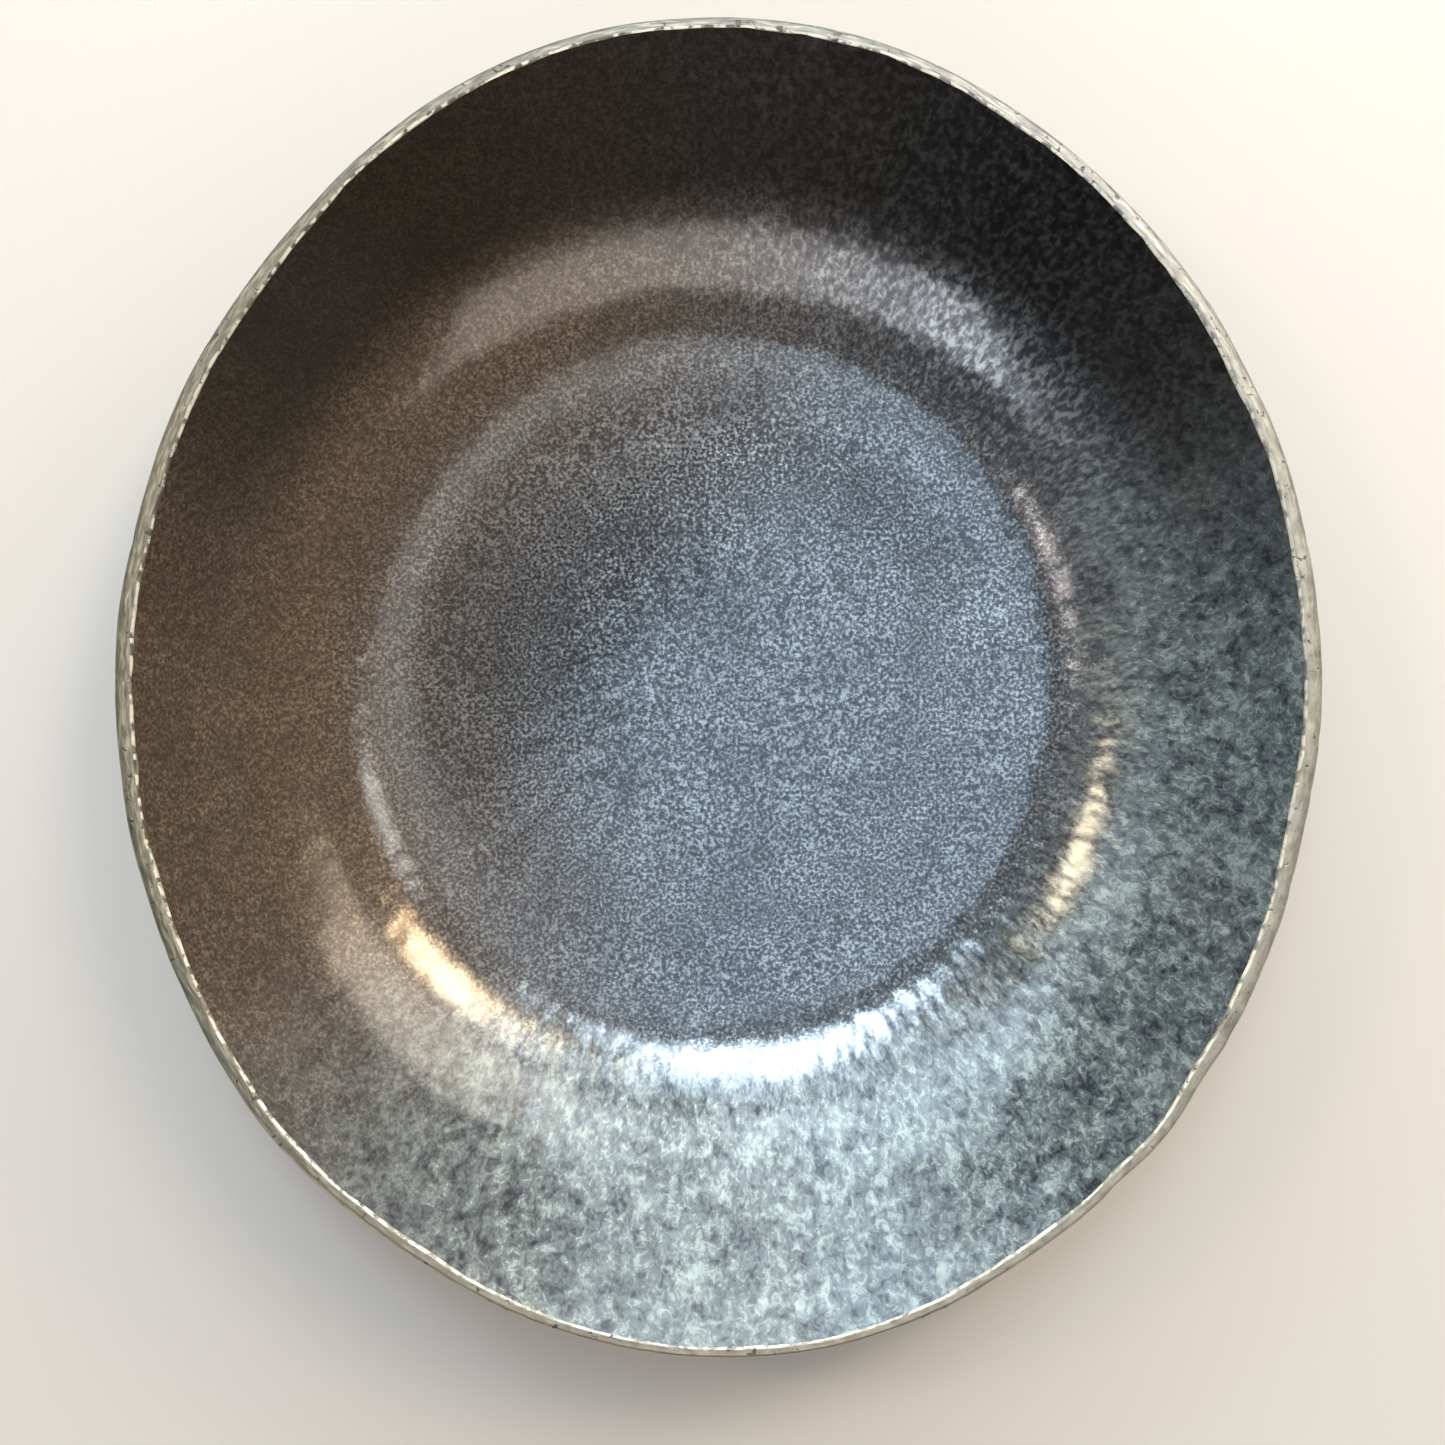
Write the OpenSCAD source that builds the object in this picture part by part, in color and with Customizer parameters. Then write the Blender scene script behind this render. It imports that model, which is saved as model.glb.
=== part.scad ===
// Serving platter in glazed stoneware: a wide, shallow dish drawn out to a hand-shaped oval.
// It stands on its foot ring, with +Z up out of the well and +Y along its length.
// The origin is the middle of the plane that it rests on. All sizes are in millimetres.

/* [Overall] */
// Overall length, along Y
platter_l = 350; // [290:1:420]
// Overall width, along X
platter_w = 316; // [262:1:380]
// Overall height, from the resting plane to the highest point of the lip
platter_h = 70; // [58:1:84]

/* [Well and wall] */
// Diameter of the flat well
well_d = 180; // [150:1:216]
// Inside radius of the cove between the well and the wall
cove_r = 60; // [50:1:72]
// Clay thickness of the well and of the bottom of the wall
wall_thk = 6; // [5:0.25:7.5]
// Clay thickness of the lip at the two sides
lip_side = 4.5; // [3.75:0.25:5.5]
// Clay thickness of the lip at the two ends
lip_end = 3; // [2.5:0.25:4]

/* [Foot ring] */
// Height of the foot ring
foot_h = 7; // [5:0.25:9]
// Width of the band of clay that the foot ring is made of
foot_w = 8; // [6:0.25:10]
// Bare clay from the edge of the flat base in to the foot ring
foot_inset = 4; // [2:0.25:6]
// Rounding of the foot ring's two lower edges
foot_round = 2; // [1:0.25:2.5]

/* [Glaze] */
// Thickness of every glaze coat
glaze_thk = 0.5; // [0.3:0.05:0.8]
// Bare clay from the inside of the foot ring to the glaze under the base
base_margin = 2; // [1:0.25:4]

/* [Hidden] */

// Hand shaping of the outline: how far the edge stands out from a true oval, every 15 degrees from +X
swells = [0, 0, -0.5, -1, -1, 0, 0, 0, -1, -2, -1, -0.5,
          0, 0, -1, -0.5, -2, -1, 0, 0.5, -0.5, 0.5, -0.5, -1];
// Hand shaping of the lip: how far it dips below its highest point, every 30 degrees from +X
dips = [1, 2, 1.5, 0, 1, 2.5, 2, 1, 0.5, 1, 2.5, 2];

// Sections round the platter, and steps along the cove, the wall and each quarter of the lip
sections = 72;
cove_steps = 6;
wall_steps = 3;
lip_steps = 2;
// The cove takes at most this share of the distance from the well out to the lip
cove_share = 0.9;
// Facets of the round pieces
round_fn = 96;

well_r = well_d / 2;
foot_out = well_r - foot_inset;
foot_in = foot_out - foot_w;
base_glaze_r = foot_in - base_margin;
// Middle of the clay's thickness at the edge of the well
edge = [well_r, foot_h + wall_thk / 2];

// Smooth closed curve through evenly spaced values, read at a bearing in degrees
function smooth(values, bearing) =
    let (
        n = len(values),
        place = bearing / 360 * n,
        i = floor(place),
        t = place - i,
        before = values[(i + n - 1) % n],
        here = values[i % n],
        next = values[(i + 1) % n],
        after = values[(i + 2) % n],
        bend = 3 * (here - next) + after - before,
        slope = 2 * before - 5 * here + 4 * next - after
    )
    here + t / 2 * (next - before + t * (slope + t * bend));

function mix(a, b, share) = a + (b - a) * share;

// Outline: an oval with the swells added, then fitted to the overall width and length
function oval(bearing) =
    1 / norm([2 * cos(bearing) / platter_w, 2 * sin(bearing) / platter_l]);
bearings = [for (i = [0 : sections - 1]) 360 * i / sections];
rough = [for (b = bearings) (oval(b) + smooth(swells, b)) * [cos(b), sin(b)]];
rough_x = [for (p = rough) p.x];
rough_y = [for (p = rough) p.y];
function fitted(value, values, span) =
    (value - (min(values) + max(values)) / 2) * span / (max(values) - min(values));
outline = [for (p = rough) [fitted(p.x, rough_x, platter_w), fitted(p.y, rough_y, platter_l)]];

// Height of the lip's highest line, section by section
dip = [for (b = bearings) smooth(dips, b)];
lip_top = [for (d = dip) platter_h - (d - min(dip))];

// Half the clay's thickness at the lip, thick at the sides and thin at the ends
lip_half = [for (p = outline) mix(lip_end, lip_side, pow(p.x / norm(p), 2)) / 2];

// Stations along the middle of the wall of one section, as [radius, height, half thickness, slope]:
// the cove is an arc that starts level at the edge of the well, and the wall is its tangent to the lip
function wall_line(i) =
    let (
        round_r = lip_half[i] + glaze_thk,
        lip = [norm(outline[i]) - round_r, lip_top[i] - round_r],
        span = lip - edge,
        bend_r = min(cove_r + wall_thk / 2, cove_share * span.x),
        to_lip = span - [0, bend_r],
        lean = atan2(to_lip.y, to_lip.x) + asin(bend_r / norm(to_lip)),
        cove = [for (k = [0 : cove_steps]) let (turn = lean * k / cove_steps)
            edge + bend_r * [sin(turn), 1 - cos(turn)]],
        wall = [for (k = [1 : wall_steps]) mix(cove[cove_steps], lip, k / wall_steps)],
        line = concat(cove, wall),
        last = len(line) - 1
    )
    [for (k = [0 : last])
        [line[k].x, line[k].y, mix(wall_thk / 2, lip_half[i], k / last), lean * min(1, k / cove_steps)]];

// Directions round the lip, from the inner wall's normal over the top to the outer wall's normal
function lip_turns(lean) = concat(
    [for (k = [1 : lip_steps]) mix(lean + 90, 90, k / lip_steps)],
    [for (k = [1 : lip_steps]) mix(90, 0, k / lip_steps)],
    [for (k = [1 : lip_steps - 1]) mix(0, lean - 90, k / lip_steps)]
);

// One section's skin, from the edge of the well up the inside, over the lip and down the outside
function skin_point(i, station, turn, lift) =
    let (
        toward = outline[i] / norm(outline[i]),
        reach = station[0] + (station[2] + lift) * cos(turn)
    )
    [reach * toward.x, reach * toward.y, station[1] + (station[2] + lift) * sin(turn)];
function skin(i, lift) =
    let (
        line = wall_line(i),
        last = len(line) - 1,
        lip = line[last]
    )
    concat(
        [for (s = line) skin_point(i, s, s[3] + 90, lift)],
        [for (turn = lip_turns(lip[3])) skin_point(i, lip, turn, lift)],
        [for (k = [last : -1 : 0]) skin_point(i, line[k], line[k][3] - 90, lift)]
    );
clay_skins = [for (i = [0 : sections - 1]) skin(i, 0)];
glaze_skins = [for (i = [0 : sections - 1]) skin(i, glaze_thk)];

// Rings of a skin that the coats start and end at
lip_inside = cove_steps + wall_steps;
lip_outside = lip_inside + 3 * lip_steps;
base_edge = lip_outside + cove_steps + wall_steps;

// Rings of points round the platter, in either direction along the section
function rings(skins, first, last) =
    [for (k = [first : (first < last ? 1 : -1) : last]) [for (s = skins) s[k]]];

// The two facets between four neighbours, split along the shorter diagonal,
// so that surfaces which touch have the same facets
function facets(points, a, b, c, d) =
    norm(points[a] - points[c]) < norm(points[b] - points[d])
        ? [[a, b, c], [a, c, d]]
        : [[a, b, d], [b, c, d]];

// Solid swept round the platter through rings of points. A tube joins its last ring to its first,
// and any other solid has a flat face over its first ring and its last
module swept(loops, tube = false) {
    points = [for (loop = loops) each loop];
    count = len(loops);
    bands = [for (k = [0 : count - (tube ? 1 : 2)], i = [0 : sections - 1])
        let (
            row = k * sections,
            up = (k + 1) % count * sections,
            j = (i + 1) % sections
        )
        each facets(points, row + i, row + j, up + j, up + i)];
    top = [for (i = [sections - 1 : -1 : 0]) i];
    bottom = [for (i = [0 : sections - 1]) (count - 1) * sections + i];
    polyhedron(points, tube ? bands : concat([top], bands, [bottom]));
}

// Coat of glaze between two rings of the skin
module band_coat(first, last) {
    swept(concat(rings(glaze_skins, first, last), rings(clay_skins, last, first)), tube = true);
}

// Fired clay of the well, the wall and the lip
module clay_body() {
    color("#5b4c40") swept(rings(clay_skins, 0, base_edge));
}

// Foot ring of bare clay, luted under the flat base
module foot_ring() {
    color("#6e5c4c") rotate_extrude($fn = round_fn) {
        translate([foot_in, foot_round])
            square([foot_w, foot_h - foot_round]);
        translate([foot_in + foot_round, 0])
            square([foot_w - 2 * foot_round, foot_round]);
        for (x = [foot_in + foot_round, foot_out - foot_round])
            translate([x, foot_round])
                circle(r = foot_round, $fn = round_fn);
    }
}

// Dark metallic glaze over the well and the inside of the wall
module inner_glaze() {
    color("#2b2f36")
        swept(concat(rings(glaze_skins, 0, lip_inside), rings(clay_skins, lip_inside, 0)));
}

// Lighter band where the glaze breaks over the lip
module rim_glaze() {
    color("#8f8f8b") band_coat(lip_inside, lip_outside);
}

// Glaze on the outside of the wall, down to the edge of the flat base
module outer_glaze() {
    color("#353a40") band_coat(lip_outside, base_edge);
}

// Glaze on the base, inside the foot ring
module base_glaze() {
    color("#3b3f44") translate([0, 0, foot_h - glaze_thk])
        cylinder(r = base_glaze_r, h = glaze_thk, $fn = round_fn);
}

clay_body();
foot_ring();
inner_glaze();
rim_glaze();
outer_glaze();
base_glaze();
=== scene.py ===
"""Looks of the serving platter: dark metallic glaze over stoneware, built round the CAD frame."""

import math

import bpy
import numpy as np
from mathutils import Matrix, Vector


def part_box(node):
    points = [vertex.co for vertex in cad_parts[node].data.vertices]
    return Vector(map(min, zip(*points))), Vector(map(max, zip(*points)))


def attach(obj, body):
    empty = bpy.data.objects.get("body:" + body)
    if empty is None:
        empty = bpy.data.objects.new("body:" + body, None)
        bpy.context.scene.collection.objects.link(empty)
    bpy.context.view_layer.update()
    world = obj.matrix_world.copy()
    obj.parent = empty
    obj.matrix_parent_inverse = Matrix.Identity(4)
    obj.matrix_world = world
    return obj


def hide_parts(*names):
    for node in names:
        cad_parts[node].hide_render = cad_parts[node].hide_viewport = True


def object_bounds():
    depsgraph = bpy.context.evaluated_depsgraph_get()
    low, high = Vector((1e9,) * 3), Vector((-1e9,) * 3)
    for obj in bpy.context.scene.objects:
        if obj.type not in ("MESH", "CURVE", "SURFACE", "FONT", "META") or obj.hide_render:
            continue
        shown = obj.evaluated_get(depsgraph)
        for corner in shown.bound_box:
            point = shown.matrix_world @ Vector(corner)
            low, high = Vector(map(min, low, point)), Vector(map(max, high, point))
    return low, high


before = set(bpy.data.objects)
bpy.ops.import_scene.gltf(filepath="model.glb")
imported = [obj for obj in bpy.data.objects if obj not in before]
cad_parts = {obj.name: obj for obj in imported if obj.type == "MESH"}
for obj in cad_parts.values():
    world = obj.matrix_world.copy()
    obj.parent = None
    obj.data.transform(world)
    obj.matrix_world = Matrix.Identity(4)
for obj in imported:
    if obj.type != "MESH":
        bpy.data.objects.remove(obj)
CAD_LOW, CAD_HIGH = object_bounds()

# ---------------------------------------------------------------- sizes, in metres
MM = 0.001
# Sections round the CAD's polyhedra, and places round the glaze
SECTIONS = 72
TURNS = 800
# The CAD's cove, and the steps along it and along the wall
COVE_R = 60 * MM
COVE_SHARE = 0.9
COVE_STEPS = 6
WALL_STEPS = 3
PROFILE_STEPS = COVE_STEPS + WALL_STEPS
# The thrown curve: how gently its bending starts and stops, and how far the well dips in its middle
EASE = 14 * MM
DISH = 0.8 * MM
# How far the foot ring is pressed into the clay that it is luted to
LUTED = 0.6 * MM
# How square the lip's rounding is: 2 would be a circle
SQUARENESS = 2.7
# Place of the nicks over the cap, and how far they spread
NICK_PLACE = 0.74
NICK_SPREAD = 0.1
# Rounding of the foot ring where it rests
WORN = 1.6 * MM

# Rows of points in each stretch of a section
WELL_ROWS = 20
COVE_ROWS = 42
WALL_ROWS = 22
TURN_IN_ROWS = 4
LIP_ROWS = 24
TURN_OUT_ROWS = 3
HIDDEN_ROWS = 6
LIP_BACK_ROWS = 5
# Places round the hidden clay, and round the pieces under the dish
COARSE_TURNS = 240
FOOT_TURNS = 480
# Bake pictures: the largest circle that fits, the corner where hidden backs go, and the lip's strips
PICTURE_R = 0.99 / 2
CORNER = (0.07, 0.07)
CORNER_R = 0.065
STRIPS = 10

# Where the lip's pale band starts and ends, as a share of the way over the cap
BAND_START = 0.05
BAND_END = 0.86

# Radii of the circles that noise round the dish is read on
LIP_CIRCLE = 165 * MM
WALL_CIRCLE = 150 * MM
EDGE_CIRCLE = 90 * MM
# Radius that stands in for the lip's, so that marks there are drawn out along it
STREAK_CIRCLE = 22 * MM
# Share of the way up the wall at which its noise is read, so that the runs are drawn out
RUN_SHARE = 0.72
# Pitch of the throwing lines outside, and of the spiral under the base
LINE_PITCH = 5.5 * MM
SPIRAL_PITCH = 7 * MM

# Local hand shaping of the outline: bearing and half width in degrees, and how far it stands out in mm
NUDGES = [(22, 8, 0.4), (37, 8, 0.5), (172, 6, 0.3), (188, 10, -0.4), (200, 6, -0.4),
          (309, 4, -0.7), (321, 5, -1.0), (338, 7, 0.3)]
# Nicks in the lip: bearing and half width in degrees, and depth in mm
NICKS = [(326, 0.7, 0.5), (333, 0.5, 0.6), (341, 0.9, 0.4), (308, 0.6, 0.5),
         (300, 0.5, 0.4), (350, 0.6, 0.4), (14, 0.5, 0.4), (166, 0.6, 0.5),
         (205, 0.5, 0.3), (228, 0.7, 0.4), (122, 0.5, 0.3), (61, 0.4, 0.3)]


# ---------------------------------------------------------------- smooth noise in numpy
def lattice(ix, iy, iz, seed):
    """Random value from 0 to 1 at whole-number places."""
    h = (ix * 374761393 + iy * 668265263 + iz * 2147483647 + seed * 144269504) & 0xFFFFFFFF
    h = ((h ^ (h >> 13)) * 1274126177) & 0xFFFFFFFF
    h = ((h ^ (h >> 16)) * 2246822519) & 0xFFFFFFFF
    return ((h ^ (h >> 15)) & 0xFFFFFF) / float(0xFFFFFF)


def value_noise(points, size, seed):
    """Smooth noise from -1 to 1 whose bumps are about size across."""
    p = points / size
    cell = np.floor(p).astype(np.int64)
    t = p - cell
    t = t * t * t * (t * (t * 6 - 15) + 10)
    total = 0
    for dx in (0, 1):
        for dy in (0, 1):
            for dz in (0, 1):
                near = lattice(cell[..., 0] + dx, cell[..., 1] + dy, cell[..., 2] + dz, seed)
                wx = t[..., 0] if dx else 1 - t[..., 0]
                wy = t[..., 1] if dy else 1 - t[..., 1]
                wz = t[..., 2] if dz else 1 - t[..., 2]
                total = total + near * wx * wy * wz
    return total * 2 - 1


def layered_noise(points, size, seed, layers=3):
    """Value noise with finer layers added."""
    total = 0
    weight = 1.0
    for k in range(layers):
        total = total + weight * value_noise(points, size / 2 ** k, seed + k)
        weight *= 0.5
    return total


def smoothstep(low, high, x):
    """0 up to low, 1 from high on, and a smooth rise between."""
    t = np.clip((x - low) / (high - low), 0, 1)
    return t * t * (3 - 2 * t)


def bearing_gap(bearing, at):
    """Difference between bearings in degrees, from -180 to 180."""
    return (bearing - at + 180) % 360 - 180


# ---------------------------------------------------------------- sizes read off the CAD
def node_points(name):
    """Corners of a CAD node, as rows of x, y and z."""
    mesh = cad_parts[name].data
    points = np.empty(len(mesh.vertices) * 3)
    mesh.vertices.foreach_get("co", points)
    return points.reshape(-1, 3)


def radius_of(points):
    """Distance from the dish's middle line."""
    return np.hypot(points[..., 0], points[..., 1])


def bearing_of(points):
    """Bearing in radians, from -pi to pi."""
    return np.arctan2(points[..., 1], points[..., 0])


def facing(points, at):
    """1 at the bearing given in degrees, and -1 opposite."""
    return np.cos(bearing_of(points) - math.radians(at))


def circle_places(toward, radius):
    """Level places on a circle at each bearing."""
    return np.concatenate([toward, np.zeros((len(toward), 1))], 1) * radius


def measure_cad():
    """Sizes that the looks share with the CAD."""
    base_low, base_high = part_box("base_glaze")
    inner_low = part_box("inner_glaze")[0]
    foot = node_points("foot_ring")
    outer = node_points("outer_glaze")
    under = outer[outer[:, 2] < outer[:, 2].min() + 0.01 * MM]
    return {
        "foot_h": base_high.z,
        "glaze": base_high.z - base_low.z,
        "wall": inner_low.z - base_high.z,
        "base_r": radius_of(node_points("base_glaze")).max(),
        "foot_in": radius_of(foot).min(),
        "foot_out": radius_of(foot).max(),
        "well_r": radius_of(under).max(),
    }


def lip_sections():
    """Outer edge, crest height and rounding of the lip at each section of the CAD."""
    points = node_points("rim_glaze")
    radius = radius_of(points)
    bearing = np.degrees(bearing_of(points)) % 360
    section = np.rint(bearing / 360 * SECTIONS).astype(int) % SECTIONS
    rows = []
    for i in range(SECTIONS):
        mine = points[section == i]
        reach = radius[section == i]
        edge = mine[reach.argmax()]
        crest = reach[mine[:, 2].argmax()]
        rows.append((edge[0], edge[1], mine[:, 2].max(), reach.max() - crest))
    return np.array(rows)


def around(values, count):
    """Smooth closed curve through evenly spaced values, read at count places."""
    waves = np.fft.rfft(values)
    return np.fft.irfft(waves, count) * count / len(values)


def shaped_outline(rows, count):
    """Edge of the lip at count places, with its hand shaping, its nicks and its waver."""
    x, y, top, rounding = (around(rows[:, k], count) for k in range(4))
    reach = np.hypot(x, y)
    toward = np.stack([x, y], 1) / reach[:, None]
    bearing = np.degrees(np.arctan2(y, x)) % 360
    for at, half, size in NUDGES:
        reach = reach + size * MM * np.exp(-(bearing_gap(bearing, at) / half) ** 2 * 2)
    circle = circle_places(toward, LIP_CIRCLE)
    reach = reach + 0.16 * MM * layered_noise(circle, 24 * MM, 11, 2)
    top = top + 0.22 * MM * layered_noise(circle, 38 * MM, 21, 2)
    rounding = rounding * (1 + 0.07 * layered_noise(circle, 30 * MM, 31, 2))
    return toward, reach, top, rounding, bearing


def make_form(count):
    """What the surface needs at each bearing: the lip's station, and the cove and wall below it."""
    cad = measure_cad()
    toward, reach, top, rounding, bearing = shaped_outline(lip_sections(), count)
    lip_r = reach - rounding
    lip_z = top - rounding
    edge_z = cad["foot_h"] + cad["wall"] / 2
    across = lip_r - cad["well_r"]
    bend = np.minimum(COVE_R + cad["wall"] / 2, COVE_SHARE * across)
    rise = lip_z - edge_z - bend
    lean = np.arctan2(rise, across) + np.arcsin(bend / np.hypot(across, rise))
    return dict(cad, toward=toward, bearing=bearing, lip_r=lip_r, lip_z=lip_z, edge_z=edge_z,
                half=rounding - cad["glaze"], bend=bend, lean=lean, count=count)


# ---------------------------------------------------------------- the surface
def column(values):
    """One value at each bearing, as a column that broadcasts along the section."""
    return np.asarray(values)[:, None]


def spun(form, radius, height, normal, reach):
    """Points at reach along the normal from stations of each section, and the normals there."""
    radius, height, normal, reach = np.broadcast_arrays(radius, height, normal, reach)
    toward = form["toward"][:, None, :]
    out = (radius + reach * np.cos(normal))[..., None] * toward
    points = np.concatenate([out, (height + reach * np.sin(normal))[..., None]], -1)
    normals = np.concatenate([np.cos(normal)[..., None] * toward, np.sin(normal)[..., None]], -1)
    return points, normals


ERF = np.vectorize(math.erf)


def eased_kink(x):
    """How far a line stands off once a kink in its slope is smoothed. x is how far past the kink."""
    bell = np.exp(-x ** 2 / 2) / math.sqrt(2 * math.pi)
    share = 0.5 * (1 + ERF(x / math.sqrt(2)))
    return (x ** 2 + 1) / 2 * share + x / 2 * bell - np.maximum(x, 0) ** 2 / 2


def easing(form, along):
    """Lift of the thrown curve over the CAD's arc. along is the distance from the well's edge."""
    bend = column(form["bend"])
    cove = bend * column(form["lean"])
    return EASE ** 2 / bend * (eased_kink(along / EASE) - eased_kink((along - cove) / EASE))


def well_skin(form, share, side, lift):
    """The well (side 1) or the underside (side -1). share is 0 in the middle and 1 at the edge."""
    share = np.broadcast_to(share, (form["count"], np.shape(share)[-1]))
    raised = easing(form, form["well_r"] * (share - 1))
    dished = DISH * (1 - share ** 2) ** 2 * (side > 0)
    height = form["edge_z"] + raised - dished
    return spun(form, form["well_r"] * share, height, side * math.pi / 2, form["wall"] / 2 + lift)


def wall_skin(form, v, side, lift):
    """The inside (side 1) or the outside (side -1). v is 0 to 1 up the cove, and 2 at the lip."""
    v = np.broadcast_to(v, (form["count"], np.shape(v)[-1]))
    up = np.clip(v - 1, 0, 1)
    turn = column(form["lean"]) * np.minimum(v, 1)
    radius = form["well_r"] + column(form["bend"]) * np.sin(turn)
    height = form["edge_z"] + column(form["bend"]) * (1 - np.cos(turn))
    run = np.hypot(column(form["lip_r"]) - radius, column(form["lip_z"]) - height) * up
    radius = radius + (column(form["lip_r"]) - radius) * up
    height = height + (column(form["lip_z"]) - height) * up
    raised = easing(form, column(form["bend"]) * turn + run)
    radius = radius - raised * np.sin(turn)
    height = height + raised * np.cos(turn)
    share = (np.minimum(v, 1) * COVE_STEPS + up * WALL_STEPS) / PROFILE_STEPS
    half = form["wall"] / 2 * (1 - share) + column(form["half"]) * share
    return spun(form, radius, height, turn + side * math.pi / 2, half + lift)


def cap_skin(form, t, lift):
    """Over the lip. t is 0 at the top of the inner wall and 1 at the top of the outer wall."""
    t = np.broadcast_to(t, (form["count"], np.shape(t)[-1]))
    normal = column(form["lean"]) + math.pi / 2 - math.pi * t
    powers = np.abs(np.cos(normal)) ** SQUARENESS + np.abs(np.sin(normal)) ** SQUARENESS
    square = powers ** (-1 / SQUARENESS)
    ease = smoothstep(0, 0.2, t) * smoothstep(0, 0.2, 1 - t)
    reach = (column(form["half"]) + lift) * (1 + ease * (square - 1))
    for at, half, depth in NICKS:
        place = np.exp(-(bearing_gap(column(form["bearing"]), at) / half) ** 2)
        reach = reach - depth * MM * place * np.exp(-((t - NICK_PLACE) / NICK_SPREAD) ** 2)
    return spun(form, column(form["lip_r"]), column(form["lip_z"]), normal, reach)


def clay_waver(points):
    """Slight unevenness of the thrown clay, the same for every layer of it."""
    radius = radius_of(points)
    rings = np.sin(radius / (9 * MM) + 1.6 * value_noise(points, 90 * MM, 3))
    slow = value_noise(points, 60 * MM, 5)
    return MM * (0.03 * rings + 0.14 * slow)


def along_from_first(points):
    """Distance along each section from its first row."""
    gaps = np.linalg.norm(np.diff(points, axis=1), axis=-1)
    return np.concatenate([np.zeros((len(points), 1)), np.cumsum(gaps, 1)], 1)


def unrolled(form, points, radius, share):
    """Places on a cylinder, at a share of the distance along the section."""
    circle = np.broadcast_to(form["toward"][:, None, :] * radius, points.shape[:2] + (2,))
    return np.concatenate([circle, share * along_from_first(points)[..., None]], -1)


def flow_places(form, points):
    """Places where noise is read so that it runs down the wall."""
    return unrolled(form, points, WALL_CIRCLE, RUN_SHARE)


def cloud_share(points):
    """How far the glaze has gathered into pale clouds: most on the wall to the lower right."""
    side = smoothstep(-0.25, 0.75, facing(points, -48))
    return side * smoothstep(86 * MM, 135 * MM, radius_of(points))


def brown_tint_and_painted_reflection_share(points):
    """How brown the glaze is shown: most to the left and the upper left. Partly the glaze's own tint and
    partly a painted reflection of brown surroundings.
    """
    side = smoothstep(-0.45, 0.8, facing(points, 160))
    return side * smoothstep(20 * MM, 120 * MM, radius_of(points))


def painted_dark_reflection_share(points):
    """Share of painted dark reflection of the dim room: high on the wall, round the far end."""
    side = smoothstep(0.0, 0.65, facing(points, 90))
    return side * smoothstep(124 * MM, 142 * MM, radius_of(points))


def low_share(points):
    """1 on the lip at the near end, where a painted groove shade and a painted ridge highlight run along
    it.
    """
    return smoothstep(0.70, 0.93, facing(points, -99))


def relief(points, flow):
    """Height of the glaze over its coat: runs and clusters on the wall, and a soft leathery grain."""
    cloud = cloud_share(points)
    clusters = layered_noise(flow, 4.5 * MM, 41, 2)
    grain = value_noise(points, 3.4 * MM, 45)
    return MM * (0.11 * cloud * clusters + 0.035 * grain)


def settle(form, skin, glazed=True):
    """The skin with the clay's waver, and with the glaze's relief where it is a visible coat."""
    points, normals = skin
    away = clay_waver(points)
    if glazed:
        away = away + relief(points, flow_places(form, points))
    return points + normals * away[..., None]


def strung(*skins):
    """Skins end to end, leaving out the row that each shares with the one before."""
    points = [skins[0][0]] + [s[0][:, 1:] for s in skins[1:]]
    normals = [skins[0][1]] + [s[1][:, 1:] for s in skins[1:]]
    return np.concatenate(points, 1), np.concatenate(normals, 1)


def band_edges(form):
    """Where the lip's band starts and ends at each bearing."""
    circle = circle_places(form["toward"], LIP_CIRCLE)
    start = BAND_START + 0.04 * layered_noise(circle, 7 * MM, 51, 3)
    end = BAND_END + 0.03 * layered_noise(circle, 14 * MM, 61, 2)
    return column(np.clip(start, 0.01, 0.3)), column(end)


def steps(first, last, count):
    """count rows from first to last, which may differ from bearing to bearing."""
    share = np.linspace(0, 1, count)[None, :]
    return first + (last - first) * share


# ---------------------------------------------------------------- meshes
def disc_uv(rho, toward, centre=(0.5, 0.5)):
    """Places in the bake picture on circles about a centre, one circle for each row."""
    return np.asarray(centre) + toward[:, None, :] * np.asarray(rho)[..., None]


def new_mesh(name, points, quads, fans, uv_quads, uv_fans):
    """Mesh of quads and of the triangles that close its ends."""
    mesh = bpy.data.meshes.new(name)
    corners = np.concatenate([quads.ravel(), fans.ravel()])
    starts = np.concatenate([np.arange(len(quads)) * 4, len(quads) * 4 + np.arange(len(fans)) * 3])
    mesh.vertices.add(len(points))
    mesh.vertices.foreach_set("co", points.astype(np.float32).ravel())
    mesh.loops.add(len(corners))
    mesh.loops.foreach_set("vertex_index", corners.astype(np.int32))
    mesh.polygons.add(len(starts))
    mesh.polygons.foreach_set("loop_start", starts.astype(np.int32))
    mesh.update(calc_edges=True)
    uv = mesh.uv_layers.new(name="OFBake")
    uv.data.foreach_set("uv", np.concatenate([uv_quads.ravel(), uv_fans.ravel()]).astype(np.float32))
    mesh.shade_smooth()
    mesh.set_sharp_from_angle(angle=math.radians(55))
    return mesh


def quad_rows(count, rows, closed):
    """Corner numbers of the quads between rows of a grid that goes right round."""
    last = rows if closed else rows - 1
    k, j = np.meshgrid(np.arange(last), np.arange(count), indexing="ij")
    up = (k + 1) % rows
    right = (j + 1) % count
    place = [r * count + c for r, c in ((k, j), (up, j), (up, right), (k, right))]
    return np.stack(place, -1).reshape(-1, 4)


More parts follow.
